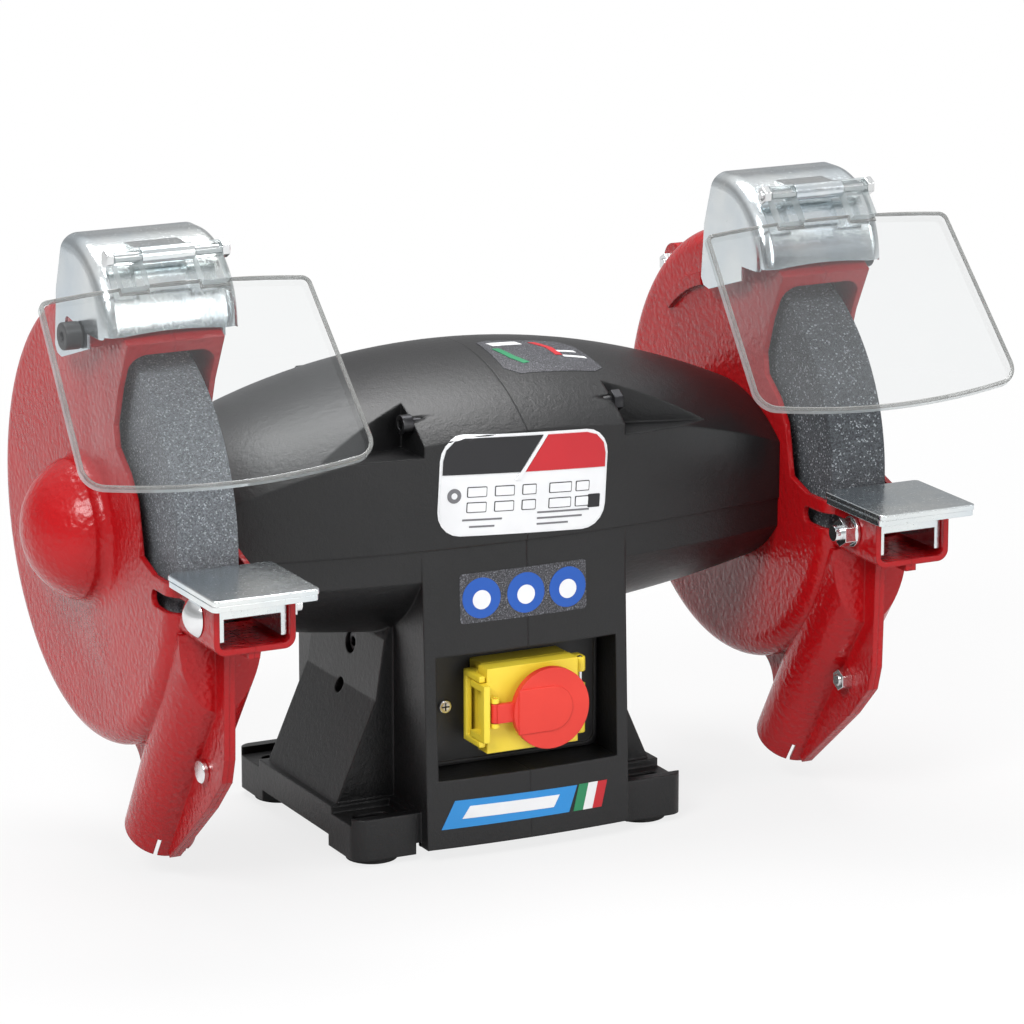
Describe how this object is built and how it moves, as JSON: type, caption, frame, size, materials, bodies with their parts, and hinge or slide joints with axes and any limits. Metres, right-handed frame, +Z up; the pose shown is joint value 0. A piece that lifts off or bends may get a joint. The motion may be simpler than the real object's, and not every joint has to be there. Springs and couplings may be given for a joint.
{
  "type": "bench grinder",
  "caption": "Double-ended bench grinder with extraction guards, tilting clear eye shields, adjustable tool rests and a lidded safety switch in its pedestal.",
  "frame": {"origin": "bench plane under the middle of the shaft", "axes": "+X along the shaft to the right-hand wheel, -Y to the operator, +Z up"},
  "size_m": [0.522, 0.287, 0.3305],
  "materials": {
    "casting": "satin wrinkle paint",
    "guard_paint": "glossy powder coat",
    "zinc": "blue-grey zinc",
    "fastener": "bright zinc",
    "steel": "ground",
    "laminations": "oxidised",
    "copper": "enamelled wire",
    "rubber": "matt",
    "black_plastic": "matt",
    "white_plastic": "matt",
    "yellow_plastic": "semi-gloss",
    "red_plastic": "semi-gloss",
    "green_plastic": "semi-gloss",
    "clear_sheet": "clear",
    "abrasive": "granular",
    "abrasive_fine": "granular",
    "card": "card"
  },
  "bodies": {
    "base": {"housing_left": "casting", "housing_right": "casting", "tie_screws": "fastener", "tie_nuts": "fastener", "base_cover": "zinc", "cover_screws": "fastener", "rubber_feet": "rubber", "cable_gland": "black_plastic", "stator_core": "laminations", "stator_windings": "copper", "bearing_outer_rings": "steel", "preload_washer": "steel", "capacitor": "white_plastic", "terminal_block": "white_plastic", "inner_leads": "red_plastic", "guard_bolts": "fastener", "guard_nuts": "fastener", "guard_screws": "fastener", "switch_plate": "black_plastic", "switch_base": "yellow_plastic", "switch_body": "black_plastic", "lid_pin": "steel", "switch_screws": "fastener", "guard_inner_left": "guard_paint", "guard_outer_left": "guard_paint", "hood_knob_left": "black_plastic", "guard_inner_right": "guard_paint", "guard_outer_right": "guard_paint", "hood_knob_right": "black_plastic"},
    "rotor": {"shaft": "steel", "rotor_core": "laminations", "wheel_left": "abrasive", "wheel_right": "abrasive_fine", "wheel_blotters": "card", "inner_flanges": "zinc", "outer_flanges": "zinc", "wheel_nuts": "fastener", "bearing_inner_rings": "steel", "bearing_balls": "fastener"},
    "switch_lid": {"switch_lid": "yellow_plastic"},
    "stop_paddle": {"stop_paddle": "red_plastic"},
    "start_button": {"start_button": "green_plastic"},
    "stop_button": {"stop_button": "red_plastic"},
    "hood_left": {"hood_left": "zinc", "hinge_pin_left": "fastener", "hinge_nut_left": "fastener"},
    "shield_left": {"shield_left": "clear_sheet"},
    "rest_left": {"rest_table_left": "zinc", "rest_bracket_left": "zinc", "rest_bolt_left": "fastener", "rest_nut_left": "fastener"},
    "hood_right": {"hood_right": "zinc", "hinge_pin_right": "fastener", "hinge_nut_right": "fastener"},
    "shield_right": {"shield_right": "clear_sheet"},
    "rest_right": {"rest_table_right": "zinc", "rest_bracket_right": "zinc", "rest_bolt_right": "fastener", "rest_nut_right": "fastener"}
  },
  "joints": [
    {"name": "rotor_spin", "type": "hinge", "parent": "base", "child": "rotor", "pos_m": [0, 0, 0.181], "axis": [1, 0, 0], "continuous": true},
    {"name": "hood_swing_left", "type": "hinge", "parent": "base", "child": "hood_left", "pos_m": [-0.184, 0, 0.181], "axis": [1, 0, 0], "range_deg": [0, 8]},
    {"name": "shield_tilt_left", "type": "hinge", "parent": "hood_left", "child": "shield_left", "pos_m": [-0.184, -0.051, 0.325], "axis": [1, 0, 0], "range_deg": [-100, 10]},
    {"name": "rest_slide_left", "type": "slide", "parent": "base", "child": "rest_left", "axis": [0, 1, 0], "range_m": [0, 0.009]},
    {"name": "hood_swing_right", "type": "hinge", "parent": "base", "child": "hood_right", "pos_m": [0.184, 0, 0.181], "axis": [1, 0, 0], "range_deg": [0, 8]},
    {"name": "shield_tilt_right", "type": "hinge", "parent": "hood_right", "child": "shield_right", "pos_m": [0.184, -0.051, 0.325], "axis": [1, 0, 0], "range_deg": [-100, 10]},
    {"name": "rest_slide_right", "type": "slide", "parent": "base", "child": "rest_right", "axis": [0, 1, 0], "range_m": [0, 0.009]},
    {"name": "lid_hinge", "type": "hinge", "parent": "base", "child": "switch_lid", "pos_m": [0.032, -0.0775, 0.078], "axis": [0, 0, 1], "range_deg": [0, 105]},
    {"name": "paddle_tilt", "type": "hinge", "parent": "switch_lid", "child": "stop_paddle", "pos_m": [-0.0225, -0.0895, 0.078], "axis": [0, 0, 1], "range_deg": [0, 4.5], "stiffness_Nm_per_rad": 0.6, "springref_deg": -4.58},
    {"name": "start_press", "type": "slide", "parent": "base", "child": "start_button", "axis": [0, 1, 0], "range_m": [0, 0.003], "stiffness_N_per_m": 500, "springref_m": -0.002},
    {"name": "stop_press", "type": "slide", "parent": "base", "child": "stop_button", "axis": [0, 1, 0], "range_m": [0, 0.003], "stiffness_N_per_m": 10, "springref_m": -0.001}
  ],
  "couplings": [
    {"joint": "stop_press", "follows": "paddle_tilt", "m_per_rad": 0.03}
  ]
}
